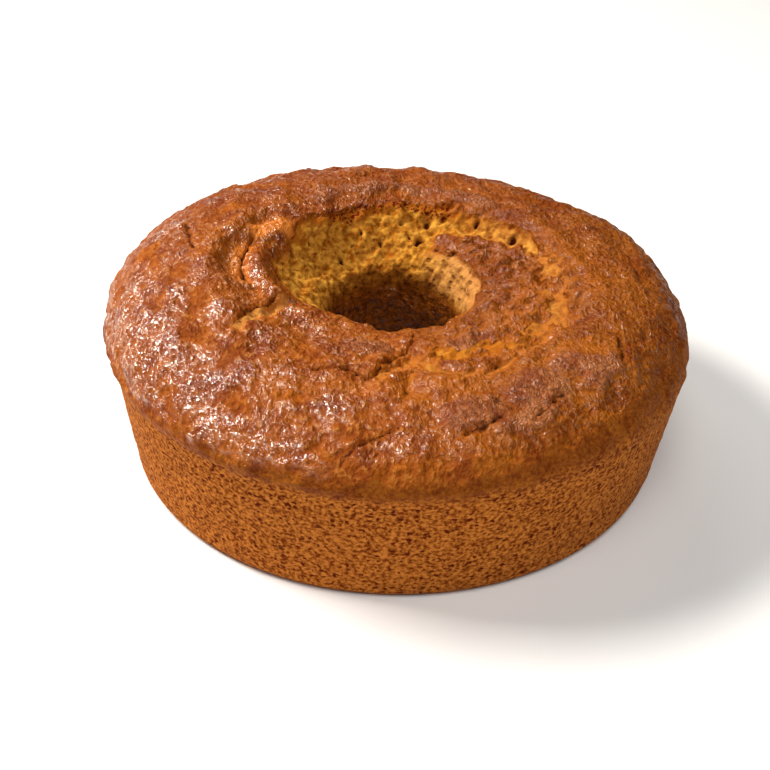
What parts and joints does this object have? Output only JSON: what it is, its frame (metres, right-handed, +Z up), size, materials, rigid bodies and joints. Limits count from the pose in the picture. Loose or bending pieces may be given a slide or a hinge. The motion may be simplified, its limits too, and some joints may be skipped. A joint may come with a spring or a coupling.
{
  "type": "ring pound cake",
  "caption": "Whole uncut ring pound cake with a browned domed top torn open round its central hole, standing on its flat base.",
  "frame": {"origin": "on the table, under the centre of the cake's bounding box, which is also the axis of the tin's tube", "axes": "+Z up along the hole, +X to the right and -Y towards the viewer in the picture"},
  "size_m": [0.2402, 0.24, 0.0898],
  "materials": {
    "baked_crust": "browned cake crust, glossy on the dome, matte on the side, golden open crumb in the tears"
  },
  "bodies": {
    "root": {"ring_cake": "baked_crust"}
  },
  "joints": []
}
